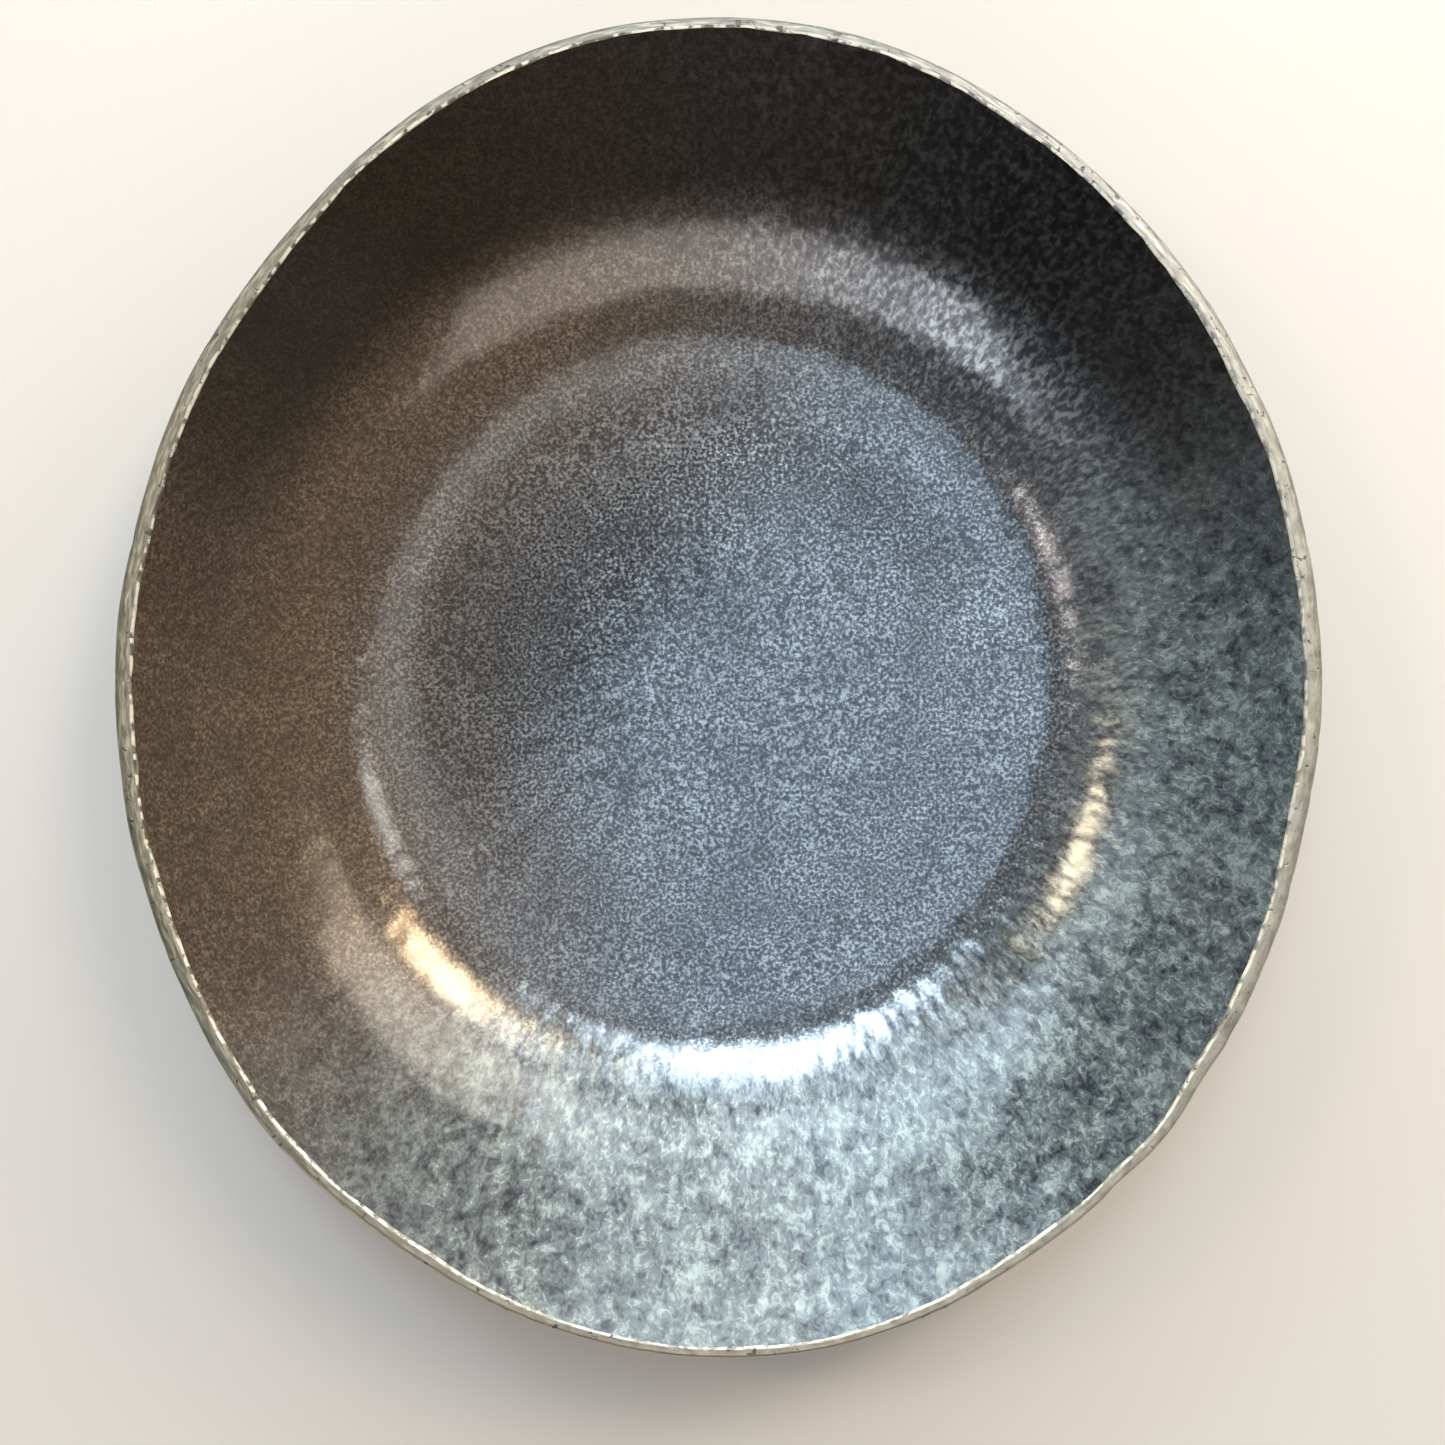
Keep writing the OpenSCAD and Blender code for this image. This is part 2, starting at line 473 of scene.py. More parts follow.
def lathe(name, points, uv, tube):
    """Closed solid from a grid of points (bearing, row). A tube joins its last row to its first."""
    count, rows = points.shape[:2]
    flat = points.transpose(1, 0, 2).reshape(-1, 3)
    flat_uv = uv.transpose(1, 0, 2).reshape(-1, 2)
    quads = quad_rows(count, rows, tube)
    fans = np.zeros((0, 3), int)
    if not tube:
        middle = [flat[:count].mean(0), flat[-count:].mean(0)]
        middle_uv = [flat_uv[:count].mean(0), flat_uv[-count:].mean(0)]
        flat = np.concatenate([flat, middle])
        flat_uv = np.concatenate([flat_uv, middle_uv])
        j = np.arange(count)
        right = (j + 1) % count
        last = (rows - 1) * count
        first_fan = np.stack([np.full(count, rows * count), j, right], 1)
        last_fan = np.stack([np.full(count, rows * count + 1), last + right, last + j], 1)
        fans = np.concatenate([first_fan, last_fan])
    return new_mesh(name, flat, quads, fans, flat_uv[quads], flat_uv[fans])


def keep_values(mesh, name, values, tube):
    """Stores a value or a vector at each point of a lathed grid, for the materials to read."""
    count, rows = values.shape[:2]
    vector = values.ndim == 3
    flat = values.swapaxes(0, 1).reshape(count * rows, -1)
    if not tube:
        flat = np.concatenate([flat, [flat[:count].mean(0), flat[-count:].mean(0)]])
    layer = mesh.attributes.new(name, "FLOAT_VECTOR" if vector else "FLOAT", "POINT")
    layer.data.foreach_set("vector" if vector else "value", flat.astype(np.float32).ravel())


def add_piece(name, mesh, material, node):
    """Piece that rides on the dish and stands in for a CAD node."""
    piece = bpy.data.objects.new(name, mesh)
    bpy.context.scene.collection.objects.link(piece)
    mesh.materials.append(material)
    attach(piece, "root")
    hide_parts(node)


# ---------------------------------------------------------------- materials
def srgb(red, green, blue):
    """Display colour, from 0 to 255 a channel, as the linear colour that a shader takes."""
    def linear(value):
        share = value / 255
        return share / 12.92 if share <= 0.04045 else ((share + 0.055) / 1.055) ** 2.4
    return (linear(red), linear(green), linear(blue), 1)


class Finish:
    """A procedural material, with short ways to add the nodes used here."""

    def __init__(self, name):
        self.material = bpy.data.materials.new(name)
        self.material.use_nodes = True
        self.tree = self.material.node_tree
        self.shader = next(n for n in self.tree.nodes if n.type == "BSDF_PRINCIPLED")

    def feed(self, socket, value):
        """Links another node's output to a socket, or sets the socket's own value."""
        if isinstance(value, bpy.types.NodeSocket):
            self.tree.links.new(value, socket)
        else:
            socket.default_value = value

    def node(self, kind, inputs, **settings):
        made = self.tree.nodes.new(kind)
        for key, value in settings.items():
            setattr(made, key, value)
        for key, value in inputs.items():
            self.feed(made.inputs[key], value)
        return made

    def places(self):
        """Places in metres, in the piece's own frame."""
        return self.node("ShaderNodeTexCoord", {}).outputs["Object"]

    def kept(self, name, vector=False):
        """Value that the mesh keeps at each point."""
        made = self.node("ShaderNodeAttribute", {}, attribute_name=name)
        return made.outputs["Vector" if vector else "Fac"]

    def noise(self, places, size, detail=2.0, rough=0.5, distort=0.0):
        """Noise from 0 to 1 whose blots are about size across."""
        inputs = {"Vector": places, "Scale": 1 / size, "Detail": detail,
                  "Roughness": rough, "Distortion": distort}
        return self.node("ShaderNodeTexNoise", inputs).outputs[0]

    def ramp(self, value, *stops):
        """Blend through stops, each a place and either a grey level or a colour."""
        made = self.node("ShaderNodeValToRGB", {"Fac": value})
        band = made.color_ramp
        while len(band.elements) < len(stops):
            band.elements.new(0.5)
        for element, (place, colour) in zip(band.elements, stops):
            element.position = place
            element.color = colour if isinstance(colour, tuple) else (colour, colour, colour, 1)
        return made.outputs["Color"]

    def tones(self, value, colours, *stops):
        """Blend through a set of colours, with one stop for each."""
        return self.ramp(value, *zip(stops, colours))

    def band(self, value, start, full, fading, end):
        """1 from full to fading, and 0 before start and after end."""
        return self.ramp(value, (start, 0.0), (full, 1.0), (fading, 1.0), (end, 0.0))

    def mix(self, share, first, second):
        made = self.node("ShaderNodeMix", {}, data_type="RGBA")
        self.feed(made.inputs["Factor"], share)
        self.feed(made.inputs[6], first)
        self.feed(made.inputs[7], second)
        return made.outputs[2]

    def plus(self, first, second):
        return self.node("ShaderNodeMath", {0: first, 1: second}, operation="ADD").outputs[0]

    def times(self, first, second):
        return self.node("ShaderNodeMath", {0: first, 1: second}, operation="MULTIPLY").outputs[0]

    def minus(self, first, second, clamp=False):
        made = self.node("ShaderNodeMath", {0: first, 1: second}, operation="SUBTRACT", use_clamp=clamp)
        return made.outputs[0]

    def scaled(self, value, low, high):
        """Value from 0 to 1 spread over low to high."""
        made = self.node("ShaderNodeMapRange", {"Value": value, "To Min": low, "To Max": high})
        return made.outputs[0]

    def bump(self, height, distance, strength=1.0):
        """Relief that is shaded but not modelled."""
        inputs = {"Height": height, "Distance": distance, "Strength": strength}
        made = self.node("ShaderNodeBump", inputs)
        self.feed(self.shader.inputs["Normal"], made.outputs[0])

    def set(self, **values):
        """Feeds the shader. A uniform number goes straight on its socket."""
        names = {"colour": "Base Color", "metal": "Metallic", "rough": "Roughness",
                 "specular": "Specular IOR Level"}
        for key, value in values.items():
            self.feed(self.shader.inputs[names[key]], value)


# Dark, middle and pale tones of each ground
FLECKS = (srgb(64, 68, 74), srgb(100, 105, 111), srgb(156, 164, 170))
# Brown tones: partly the glaze's own tint and partly a painted reflection of brown surroundings
BROWNS = (srgb(62, 53, 44), srgb(82, 70, 58), srgb(118, 104, 88))
CLOUDS = (srgb(46, 51, 58), srgb(94, 104, 107), srgb(146, 159, 157))
LIP_GREYS = (srgb(82, 86, 88), srgb(128, 132, 132), srgb(184, 186, 182))
# Olive tones on the lip: partly the glaze's tint and partly a painted reflection of brown surroundings
LIP_OLIVES = (srgb(64, 62, 52), srgb(102, 99, 86), srgb(154, 150, 132))
LIP_BEIGES = (srgb(112, 108, 94), srgb(146, 143, 128), srgb(172, 170, 156))
GUNMETALS = (srgb(40, 42, 46), srgb(78, 82, 86), srgb(138, 142, 144))
CLAYS = (srgb(84, 66, 52), srgb(120, 98, 78), srgb(158, 134, 108))
# Single colours laid over the grounds
# Painted dark reflection of the dim room, laid high on the far wall
PAINTED_DARK_REFLECTION = srgb(26, 23, 20)
# Painted shade of a groove and painted highlight on the lip's outer ridge, both at the near end
PAINTED_GROOVE_SHADE = srgb(104, 84, 58)
PAINTED_RIDGE_HIGHLIGHT = srgb(196, 198, 176)
# Painted cream highlight along the lip's inner edge
PAINTED_HIGHLIGHT_CREAM = srgb(226, 221, 204)
LIP_SHADE = srgb(50, 46, 46)
LIP_PIT = srgb(48, 44, 38)
LIP_DULL = srgb(40, 38, 34)
OUTER_BROWN = srgb(70, 60, 52)
OUTER_PIT = srgb(30, 28, 26)
IRON_SPECK = srgb(44, 34, 28)
PALE_GRIT = srgb(186, 166, 140)


def inner_ground(f, flow, wall, brown):
    """Flecks in the well and runs up the wall, blue-grey or brown, and the grain that they follow."""
    place = f.places()
    flecks = f.noise(place, 0.95 * MM, 2.0, 0.6, 0.3)
    worms = f.noise(flow, 1.9 * MM, 2.5, 0.55, 0.35)
    runny = f.times(wall, f.minus(1.0, f.times(brown, 0.7)))
    grain = f.mix(runny, flecks, worms)
    blue = f.tones(grain, FLECKS, 0.38, 0.5, 0.63)
    # Warm tones where the brown share is high: partly glaze tint, partly painted reflection of brown
    # surroundings
    warm = f.tones(grain, BROWNS, 0.38, 0.5, 0.64)
    base = f.mix(brown, blue, warm)
    drift = f.noise(place, 17 * MM, 4.0, 0.6, 0.4)
    base = f.mix(f.scaled(drift, -0.4, 0.9), base, f.mix(brown, FLECKS[0], BROWNS[0]))
    return base, grain


def inner_clouds(f, flow):
    """Pale clouds, and how far the glaze has gathered in them."""
    veins = f.noise(flow, 2.1 * MM, 3.0, 0.62, 1.3)
    puffs = f.noise(flow, 4.2 * MM, 3.0, 0.6, 0.6)
    banks = f.noise(flow, 15 * MM, 2.0, 0.5, 0.4)
    gathered = f.mix(0.58, veins, f.mix(0.35, puffs, banks))
    return f.tones(gathered, CLOUDS, 0.39, 0.50, 0.63), gathered


def inner_metal(f, wall, cloud, brown):
    """Most metallic in the well, and least where the glaze is cloudy or brown."""
    metal = f.minus(0.88, f.times(wall, 0.15))
    metal = f.minus(metal, f.times(cloud, 0.35))
    return f.minus(metal, f.times(brown, 0.45), clamp=True)


def inner_finish():
    """Dark metallic glaze: fine flecks in the well, and runs and pale clouds up the wall."""
    f = Finish("inner_metallic_glaze")
    flow = f.kept("flow", vector=True)
    wall = f.kept("wall")
    cloud = f.kept("cloud")
    brown = f.kept("brown")
    base, grain = inner_ground(f, flow, wall, brown)
    clouds, gathered = inner_clouds(f, flow)
    base = f.mix(cloud, base, clouds)
    # Painted dark reflection high on the far wall, darkening the glaze there
    base = f.mix(f.times(f.kept("painted_dark_reflection"), 0.8), base, PAINTED_DARK_REFLECTION)
    paleness = f.times(f.ramp(gathered, (0.44, 0.0), (0.60, 1.0)), cloud)
    rough = f.plus(f.scaled(grain, 0.04, 0.20), f.times(paleness, 0.14))
    rough = f.plus(rough, f.times(wall, 0.06))
    f.set(colour=base, metal=inner_metal(f, wall, cloud, brown), rough=rough)
    f.bump(f.plus(grain, f.times(paleness, 0.6)), 0.018 * MM)
    return f.material


def lip_ground(f, place, streaks):
    """Grey streaks, olive where the brown share is high and beige where it is cloudy. The olive is partly
    the glaze's tint and partly a painted reflection of brown surroundings.
    """
    soft = f.noise(place, 5 * MM, 4.0, 0.6, 0.5)
    grey = f.tones(streaks, LIP_GREYS, 0.28, 0.5, 0.72)
    olive = f.tones(streaks, LIP_OLIVES, 0.28, 0.5, 0.72)
    beige = f.tones(soft, LIP_BEIGES, 0.3, 0.5, 0.7)
    base = f.mix(f.kept("brown"), grey, olive)
    return f.mix(f.times(f.kept("cloud"), 0.7), base, beige)


def lip_lines(f, place, base):
    """Lines along the lip: a painted groove shade and a painted ridge highlight at the near end, a
    painted cream highlight along the inner edge and painted shade on the dark outer side.
    """
    low = f.kept("low")
    wander = f.scaled(f.noise(place, 7 * MM, 3.0), -0.05, 0.05)
    line = f.plus(f.kept("across"), wander)
    # Painted groove shade along the middle of the lip at the near end
    groove_shade = f.times(f.band(line, 0.36, 0.41, 0.44, 0.50), low)
    base = f.mix(f.times(groove_shade, 0.85), base, PAINTED_GROOVE_SHADE)
    # Painted highlight on the lip's outer ridge at the near end
    ridge_highlight = f.times(f.band(line, 0.46, 0.52, 0.66, 0.72), low)
    base = f.mix(f.times(ridge_highlight, 0.75), base, PAINTED_RIDGE_HIGHLIGHT)
    # Painted cream highlight along the inner edge, broken up by noise
    inner = f.band(line, 0.02, 0.07, 0.14, 0.19)
    broken_highlight = f.ramp(f.noise(place, 3.6 * MM, 3.0, 0.55), (0.44, 0.0), (0.52, 1.0))
    base = f.mix(f.times(inner, broken_highlight), base, PAINTED_HIGHLIGHT_CREAM)
    outer = f.ramp(line, (0.60, 0.0), (0.70, 1.0))
    return f.mix(f.times(outer, 0.85), base, LIP_SHADE)


def lip_finish():
    """Paler glaze broken thin over the lip, with streaks along it and dark pits."""
    f = Finish("lip_glaze_break")
    place = f.places()
    streaks = f.noise(f.kept("flow", vector=True), 0.8 * MM, 3.0, 0.6, 0.5)
    base = lip_lines(f, place, lip_ground(f, place, streaks))
    pits = f.ramp(f.noise(place, 2.2 * MM, 2.0, 0.6, 0.4), (0.29, 1.0), (0.36, 0.0))
    base = f.mix(f.times(pits, 0.85), base, LIP_PIT)
    base = f.mix(0.22, base, LIP_DULL)
    f.set(colour=base, metal=0.35, rough=f.scaled(streaks, 0.24, 0.5))
    f.bump(f.minus(streaks, pits), 0.2 * MM, 0.7)
    return f.material


def outer_finish():
    """Dark gunmetal glaze with worm-like marks, brown drifts and pits."""
    f = Finish("outer_metallic_glaze")
    place = f.places()
    flow = f.kept("flow", vector=True)
    worms = f.noise(flow, 3.4 * MM, 3.0, 0.6, 0.8)
    drift = f.noise(flow, 22 * MM, 4.0, 0.6, 0.6)
    base = f.tones(worms, GUNMETALS, 0.36, 0.52, 0.68)
    base = f.mix(f.ramp(drift, (0.4, 0.0), (0.68, 0.7)), base, OUTER_BROWN)
    pits = f.ramp(f.noise(place, 3.0 * MM, 2.0, 0.6, 0.2), (0.24, 1.0), (0.31, 0.0))
    base = f.mix(f.times(pits, 0.8), base, OUTER_PIT)
    f.set(colour=base, metal=0.7, rough=f.scaled(worms, 0.22, 0.46))
    f.bump(f.minus(worms, pits), 0.25 * MM, 0.8)
    return f.material


def clay_finish(name, size):
    """Bare fired stoneware: brown and gritty, with dark iron specks. size is that of its blots."""
    f = Finish(name)
    place = f.places()
    tone = f.noise(place, size, 4.0, 0.6, 0.3)
    grit = f.noise(place, 1.1 * MM, 3.0, 0.7)
    base = f.tones(tone, CLAYS, 0.3, 0.5, 0.72)
    base = f.mix(f.ramp(grit, (0.3, 0.75), (0.42, 0.0)), base, IRON_SPECK)
    base = f.mix(f.ramp(grit, (0.62, 0.0), (0.74, 0.5)), base, PALE_GRIT)
    f.set(colour=base, metal=0.0, rough=f.scaled(grit, 0.72, 0.95))
    f.bump(grit, 0.25 * MM, 0.8)
    return f.material


# ---------------------------------------------------------------- pieces
def share_up(points):
    """0 in the well and 1 up the wall, where the flecks turn into runs."""
    return smoothstep(84 * MM, 128 * MM, radius_of(points))


def seen_and_hidden(form, seen, back):
    """Points of a coat with its hidden back, and the places where its runs are read."""
    shown = settle(form, seen)
    hidden = settle(form, back, glazed=False)
    flow = np.concatenate([flow_places(form, seen[0]), flow_places(form, hidden)], 1)
    return shown, hidden, flow


def make_inner(form):
    """Glaze over the well and the inside of the wall."""
    glaze = form["glaze"]
    start = band_edges(form)[0]
    seen = strung(
        well_skin(form, steps(0.03, 1, WELL_ROWS), 1, glaze),
        wall_skin(form, steps(0, 1, COVE_ROWS), 1, glaze),
        wall_skin(form, steps(1, 2, WALL_ROWS), 1, glaze),
        cap_skin(form, steps(0, start, TURN_IN_ROWS), glaze))
    back = strung(
        cap_skin(form, steps(start, 0, 2), 0),
        wall_skin(form, steps(2, 1, HIDDEN_ROWS), 1, 0),
        wall_skin(form, steps(1, 0, 2 * HIDDEN_ROWS), 1, 0),
        well_skin(form, steps(1, 0.5, HIDDEN_ROWS + 1), 1, 0),
        well_skin(form, steps(0.5, 0.2, 2), 1, 0))
    shown, hidden, flow = seen_and_hidden(form, seen, back)
    points = np.concatenate([shown, hidden], 1)
    reach = along_from_first(shown) + radius_of(shown[:, :1])
    uv = disc_uv(reach * PICTURE_R / reach.max(), form["toward"])
    uv_back = disc_uv(radius_of(hidden) * CORNER_R / (200 * MM), form["toward"], CORNER)
    mesh = lathe("inner_glaze_skin", points, np.concatenate([uv, uv_back], 1), tube=False)
    keep_values(mesh, "flow", flow, False)
    keep_values(mesh, "wall", share_up(points), False)
    keep_values(mesh, "cloud", cloud_share(points), False)
    keep_values(mesh, "brown", brown_tint_and_painted_reflection_share(points), False)
    keep_values(mesh, "painted_dark_reflection", painted_dark_reflection_share(points), False)
    add_piece("inner_glaze_coat", mesh, inner_finish(), "inner_glaze")


def make_lip(form):
    """Paler band of glaze over the lip."""
    start, end = band_edges(form)
    share = steps(start, end, LIP_ROWS)
    shown = settle(form, cap_skin(form, share, form["glaze"]))
    hidden = settle(form, cap_skin(form, steps(end, start, LIP_BACK_ROWS), 0), glazed=False)
    points = np.concatenate([shown, hidden], 1)
    mesh = lathe("lip_glaze_skin", points, np.zeros(points.shape[:2] + (2,)), tube=True)
    heights = [np.linspace(0, 0.80, LIP_ROWS), np.linspace(0.82, 0.98, LIP_BACK_ROWS)]
    unroll(mesh, form["count"], np.concatenate(heights))
    # Marks run along the lip, because its length counts for less than its width
    keep_values(mesh, "flow", unrolled(form, points, STREAK_CIRCLE, 1), True)
    across = np.concatenate([share, np.repeat(end, LIP_BACK_ROWS, 1)], 1)
    keep_values(mesh, "across", across, True)
    keep_values(mesh, "brown", brown_tint_and_painted_reflection_share(points), True)
    keep_values(mesh, "cloud", cloud_share(points), True)
    keep_values(mesh, "low", low_share(points), True)
    add_piece("lip_glaze_band", mesh, lip_finish(), "rim_glaze")


def unroll(mesh, count, heights):
    """Lays a tube's bake picture out as strips with margins. heights has each row's height in a strip."""
    length = count // STRIPS
    k, j = np.meshgrid(np.arange(len(heights)), np.arange(count), indexing="ij")
    strip = j // length
    left = 0.01 + 0.98 * (j % length) / length
    right = 0.01 + 0.98 * (j % length + 1) / length
    low = (strip + 0.03 + 0.94 * heights[k]) / STRIPS
    high = (strip + 0.03 + 0.94 * np.append(heights[1:], 1.0)[k]) / STRIPS
    corners = [(left, low), (left, high), (right, high), (right, low)]
    uv = np.stack([np.stack(corner, -1) for corner in corners], -2)
    mesh.uv_layers["OFBake"].data.foreach_set("uv", uv.astype(np.float32).ravel())


def make_outer(form):
    """Glaze on the outside of the wall, with throwing lines, down to a wavering edge."""
    glaze = form["glaze"]
    end = band_edges(form)[1]
    circle = circle_places(form["toward"], EDGE_CIRCLE)
    stop = column(0.016 + 0.010 * layered_noise(circle, 16 * MM, 71, 3))
    seen = strung(
        cap_skin(form, steps(end, 1, TURN_OUT_ROWS), glaze),
        wall_skin(form, steps(2, 1, WALL_ROWS), -1, glaze),
        wall_skin(form, steps(1, stop, COVE_ROWS), -1, glaze))
    back = strung(
        wall_skin(form, steps(stop, 1, 2 * HIDDEN_ROWS), -1, 0),
        wall_skin(form, steps(1, 2, HIDDEN_ROWS), -1, 0),
        cap_skin(form, steps(1, end, 2), 0))
    shown, hidden, flow = seen_and_hidden(form, seen, back)
    shown = throwing_lines(shown, seen[1])
    points = np.concatenate([shown, hidden], 1)
    reach = along_from_first(shown[:, ::-1])[:, ::-1] + form["well_r"]
    size = PICTURE_R / reach.max()
    uv = disc_uv(reach * size, form["toward"])
    # The hidden back goes inside the circle that the seen side leaves free
    uv_back = disc_uv(radius_of(hidden) * size * 0.45, form["toward"])
    mesh = lathe("outer_glaze_skin", points, np.concatenate([uv, uv_back], 1), tube=True)
    keep_values(mesh, "flow", flow, True)
    add_piece("outer_glaze_coat", mesh, outer_finish(), "outer_glaze")


def throwing_lines(points, normals):
    """Shallow lines left by the fingers, winding round the outside."""
    height = points[..., 2]
    line = np.sin(2 * math.pi * height / LINE_PITCH + bearing_of(points)) * 0.5 + 0.5
    fade = smoothstep(12 * MM, 22 * MM, height) * smoothstep(66 * MM, 58 * MM, height)
    strength = 0.5 + 0.5 * value_noise(points, 35 * MM, 81)
    return points + normals * (0.12 * MM * line * fade * strength)[..., None]


def turned_piece(form, radius, height):
    """Grid of points turned round the middle, from a section's radii and heights."""
    radius = np.broadcast_to(radius, (form["count"], np.shape(radius)[-1]))
    height = np.broadcast_to(height, radius.shape)
    return np.concatenate([form["toward"][:, None, :] * radius[..., None], height[..., None]], -1)


def make_base(form):
    """Glaze on the base inside the foot ring, with a soft wavering edge and a shallow spiral."""
    whole = form["base_r"]
    waver = 0.7 + 0.5 * layered_noise(circle_places(form["toward"], whole), 12 * MM, 91, 3)
    edge = column(whole - MM * waver)
    top = form["foot_h"]
    low = top - form["glaze"]
    # The hidden top is let into the clay, which is not quite level
    hidden = turned_piece(form, steps(0.1 * whole, edge, 4), top + 0.15 * MM)
    bevel_r = np.concatenate([edge, edge - 0.15 * MM, edge - 0.5 * MM], 1)
    bevel_z = np.array([[top - 0.15 * MM, top - 0.32 * MM, low + 0.06 * MM]])
    bevel = turned_piece(form, bevel_r, bevel_z)
    seen = turned_piece(form, steps(edge - 1.5 * MM, 0.02 * whole, 46), low)
    radius = radius_of(seen)
    spiral = np.sin(2 * math.pi * radius / SPIRAL_PITCH + bearing_of(seen))
    rise = 0.09 * spiral - 0.05 * value_noise(seen, 5 * MM, 95)
    seen[..., 2] = low + MM * smoothstep(0, 4 * MM, whole - radius) * rise
    outside = np.concatenate([bevel, seen], 1)
    points = np.concatenate([hidden, outside], 1)
    size = PICTURE_R / whole
    uv_hidden = disc_uv(radius_of(hidden) * size * 0.12, form["toward"], CORNER)
    uv = disc_uv(radius_of(outside) * size, form["toward"])
    mesh = lathe("base_glaze_skin", points, np.concatenate([uv_hidden, uv], 1), tube=False)
    keep_values(mesh, "flow", points, False)
    add_piece("base_glaze_disc", mesh, outer_finish(), "base_glaze")


def foot_section(inner, outer, top):
    """Radii and heights round the foot ring: down its outside, over its worn sole and up its inside."""
    down = np.linspace(top, WORN, 5)
    sole = np.linspace(outer - WORN, inner + WORN, 8)[1:-1]
    corner = np.linspace(0, math.pi / 2, 6)
    near = WORN - WORN * np.cos(corner)
    far = WORN - WORN * np.sin(corner)
    radius = [outer + 0 * down, outer - near[1:], sole, inner + far, inner + 0 * down[1:]]
    height = [down, far[1:], 0 * sole, near, down[-2::-1]]
    return np.concatenate(radius)[None, :], np.concatenate(height)[None, :]


def make_foot(form):
    """Bare foot ring, gritty and worn where it rests."""
    inner, outer, top = form["foot_in"], form["foot_out"], form["foot_h"] + LUTED
    grid = turned_piece(form, *foot_section(inner, outer, top))
    rough = layered_noise(grid, 3.2 * MM, 101, 3)
    lift = smoothstep(0.2, 1.2, rough) * smoothstep(top, 0.6 * top, grid[..., 2])
    middle = (inner + outer) / 2
    inward = np.sign(middle - radius_of(grid)) * 0.25 * MM * lift
    grid[..., :2] = grid[..., :2] + form["toward"][:, None, :] * inward[..., None]
    grid[..., 2] = grid[..., 2] + 0.3 * MM * lift * (grid[..., 2] < WORN)
    rho = 0.45 - 0.4 * along_from_first(grid) / (24 * MM)
    mesh = lathe("foot_ring_skin", grid, disc_uv(rho, form["toward"]), tube=True)
    material = clay_finish("foot_stoneware", 9 * MM)
    add_piece("foot_ring_bare", mesh, material, "foot_ring")


def make_clay(form):
    """Fired clay under the glaze, bare only beside the foot ring."""
    skin = strung(
        well_skin(form, steps(0.05, 0.5, 3), 1, 0),
        well_skin(form, steps(0.5, 1, 8), 1, 0),
        wall_skin(form, steps(0, 1, 14), 1, 0),
        wall_skin(form, steps(1, 2, 8), 1, 0),
        cap_skin(form, steps(0, 1, 9), 0),
        wall_skin(form, steps(2, 1, 6), -1, 0),
        wall_skin(form, steps(1, 0.12, 12), -1, 0),
        wall_skin(form, steps(0.12, 0, 6), -1, 0),
        well_skin(form, steps(1, 0.8, 12), -1, 0),
        well_skin(form, steps(0.8, 0.05, 4), -1, 0))
    points = settle(form, skin, glazed=False)
    radius = radius_of(points)
    # Only the last rows, under the dish, can be seen, so they get most of the bake picture
    rows = np.arange(points.shape[1])
    under_rows = 20
    rho = np.where(rows < len(rows) - under_rows, radius * 0.3, radius * 4.0)
    mesh = lathe("clay_skin", points, disc_uv(rho, form["toward"]), tube=False)
    material = clay_finish("body_stoneware", 12 * MM)
    add_piece("stoneware_body", mesh, material, "clay_body")


# ---------------------------------------------------------------- camera, light and floor
# The lights face this point
AIM = Vector((0, 0, 30 * MM))
# The camera looks straight down from this height over the lip, and stands this far from the middle
CAMERA_UP = 522 * MM
CAMERA_X = 1.2 * MM
CAMERA_Y = -9 * MM

COOL = (0.80, 0.91, 1.0)
WHITE = (1.0, 1.0, 1.0)
AMBER = (1.0, 0.76, 0.46)
CREAM = (1.0, 0.89, 0.74)
ORANGE = (1.0, 0.76, 0.48)
PALE = (0.93, 0.97, 1.0)
PINK = (1.0, 0.80, 0.70)
BLUE = (0.74, 0.88, 1.0)

# Lights: angles in degrees, sizes in metres and power in watts
#        name          azimuth zenith distance width height power colour
CARDS = [("key",          97,   20,    1.5,    0.34,  0.42,  9.0,  COOL),
         ("warm_left",    47,   32,    1.5,    0.22,  0.40, 10.0,  ORANGE),
         ("warm_right",  157,   35,    1.5,    0.14,  0.24,  3.6,  ORANGE),
         ("slot_left",    20,   16,    1.6,    0.06,  0.20,  0.8,  COOL),
         ("slot_right",  195,   15,    1.6,    0.07,  0.20,  0.5,  PINK),
         ("window",      -92,   46,    1.7,    2.2,   0.8,  15.0,  WHITE),
         ("fill_gap",     85,   33,    1.5,    1.3,   0.35,  6.0,  COOL),
         ("fill_warm",    20,   66,    1.6,    1.0,   0.8,   6.0,  AMBER),
         ("fill_near",    45,   60,    1.5,    0.95,  0.8,  13.0,  CREAM),
         ("fill_middle",  82,   60,    1.5,    0.86,  0.8,  10.0,  PALE),
         ("fill_far",    116,   60,    1.5,    0.86,  0.8,  12.0,  COOL),
         ("fill_right",  150,   60,    1.5,    0.86,  0.8,   3.0,  PALE),
         ("ceiling",     -33,    3,    1.7,    0.47,  0.36,  1.0,  BLUE)]
# Cards that light only the matt part of the glaze, so that they leave no streak
UNSEEN = ("fill_warm",)


def make_camera():
    """The photo's camera, over the middle of the dish."""
    data = bpy.data.cameras.new("camera")
    data.lens = 50
    data.sensor_width = 36
    camera = bpy.data.objects.new("camera", data)
    bpy.context.scene.collection.objects.link(camera)
    camera.location = (CAMERA_X, CAMERA_Y, CAD_HIGH.z + CAMERA_UP)
    bpy.context.scene.camera = camera


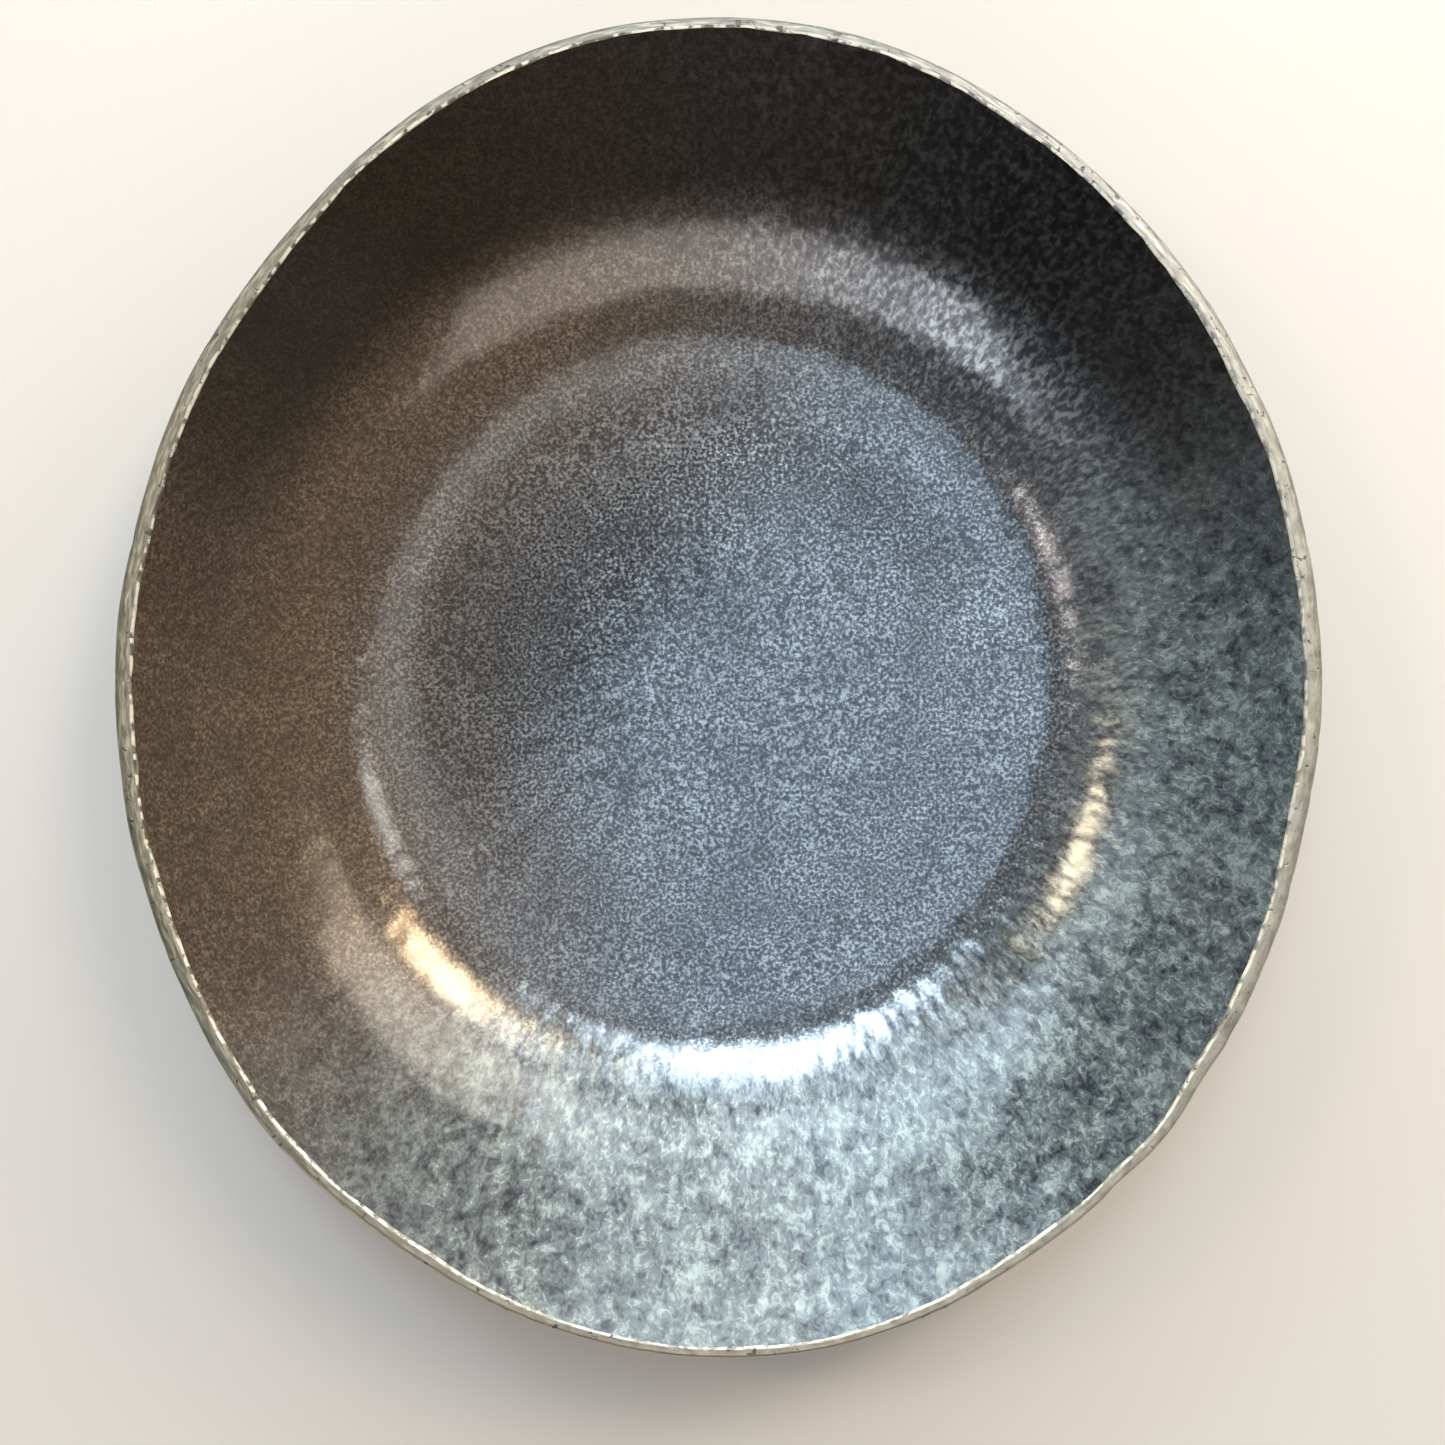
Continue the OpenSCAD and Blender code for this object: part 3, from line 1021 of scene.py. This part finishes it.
def towards(azimuth, zenith):
    """Direction at an azimuth from +X and an angle down from straight up, both in degrees."""
    turn = math.radians(azimuth)
    tilt = math.radians(zenith)
    level = math.sin(tilt)
    return Vector((level * math.cos(turn), level * math.sin(turn), math.cos(tilt)))


def card(name, azimuth, zenith, distance, width, height, power, colour):
    """Soft rectangular light that faces the dish. Its height lies towards the zenith."""
    data = bpy.data.lights.new(name, "AREA")
    data.shape = "RECTANGLE"
    data.size = width
    data.size_y = height
    data.energy = power
    data.color = colour
    lamp = bpy.data.objects.new(name, data)
    bpy.context.scene.collection.objects.link(lamp)
    direction = towards(azimuth, zenith)
    lamp.location = AIM + direction * distance
    lamp.rotation_mode = "QUATERNION"
    lamp.rotation_quaternion = direction.to_track_quat("Z", "Y")
    lamp.visible_camera = False
    lamp.visible_glossy = name not in UNSEEN


def make_world():
    """Dim room, a little brighter overhead."""
    world = bpy.data.worlds.new("room")
    bpy.context.scene.world = world
    world.use_nodes = True
    tree = world.node_tree
    background = next(n for n in tree.nodes if n.type == "BACKGROUND")
    coord = tree.nodes.new("ShaderNodeTexCoord")
    split = tree.nodes.new("ShaderNodeSeparateXYZ")
    ramp = tree.nodes.new("ShaderNodeValToRGB")
    tree.links.new(coord.outputs["Generated"], split.inputs[0])
    tree.links.new(split.outputs["Z"], ramp.inputs["Fac"])
    tree.links.new(ramp.outputs["Color"], background.inputs["Color"])
    ramp.color_ramp.elements[0].position = 0.1
    ramp.color_ramp.elements[0].color = (0.035, 0.03, 0.026, 1)
    ramp.color_ramp.elements[1].position = 1.0
    ramp.color_ramp.elements[1].color = (0.22, 0.21, 0.2, 1)
    background.inputs["Strength"].default_value = 1.0


PAPER = srgb(172, 170, 167)
PAPER_SHADE = srgb(164, 160, 155)
PAPER_GLOW = srgb(246, 243, 238)
# The floor ends here, where the backdrop starts
SPLIT_R = 1.3
# The paper starts to glow at one distance from the middle, and is at full glow at another
GLOW_START = 0.9
GLOW_END = 3.2
GLOW = 0.66


def paper_finish(name):
    """Plain pale paper, which glows far from the dish so that low views end in a pale backdrop."""
    f = Finish(name)
    place = f.places()
    tone = f.noise(place, 0.4, 3.0)
    base = f.mix(f.scaled(tone, 0.0, 0.06), PAPER, PAPER_SHADE)
    f.set(colour=base, rough=0.7, specular=0.2)
    far = f.node("ShaderNodeVectorMath", {0: place}, operation="LENGTH").outputs["Value"]
    spread = {"Value": far, "From Min": GLOW_START, "From Max": GLOW_END, "To Max": GLOW}
    glow = f.node("ShaderNodeMapRange", spread)
    f.feed(f.shader.inputs["Emission Color"], PAPER_GLOW)
    f.feed(f.shader.inputs["Emission Strength"], glow.outputs[0])
    return f.material


def stage_part(name, radii, heights, material):
    """Part of the stage, turned from its section."""
    count = 96
    turn = np.arange(count) * 2 * math.pi / count
    rows = [np.stack([radius * np.cos(turn), radius * np.sin(turn), np.full(count, height)], 1)
            for radius, height in zip(radii, heights)]
    quads = quad_rows(count, len(radii), False)[:, ::-1]
    mesh = bpy.data.meshes.new(name)
    mesh.from_pydata(np.concatenate(rows).tolist(), [], quads.tolist())
    mesh.shade_smooth()
    mesh.materials.append(material)
    part = bpy.data.objects.new(name, mesh)
    bpy.context.scene.collection.objects.link(part)
    return part


def make_stage():
    """Pale floor, and a backdrop that sweeps up from it and is seen only by the camera."""
    floor_r = [0.001, 0.3, 0.7, SPLIT_R]
    stage_part("floor", floor_r, [0.0] * 4, paper_finish("floor_paper"))
    flat, sweep, wall = 2.6, 0.9, 2.2
    turn = np.linspace(0, math.pi / 2, 13)
    radii = [SPLIT_R, 2.0, *(flat + sweep * np.sin(turn)), flat + sweep]
    heights = [0.0, 0.0, *(sweep * (1 - np.cos(turn))), sweep + wall]
    backdrop = stage_part("backdrop", radii, heights, paper_finish("backdrop_paper"))
    backdrop.visible_diffuse = False
    backdrop.visible_glossy = False


def main():
    """Builds the looks round the CAD, then the light and the stage."""
    scene = bpy.context.scene
    scene.view_settings.view_transform = "Standard"
    make_camera()
    form = make_form(TURNS)
    make_inner(form)
    make_lip(form)
    make_outer(form)
    make_clay(make_form(COARSE_TURNS))
    round_form = make_form(FOOT_TURNS)
    make_foot(round_form)
    make_base(round_form)
    for row in CARDS:
        card(*row)
    make_world()
    make_stage()


main()
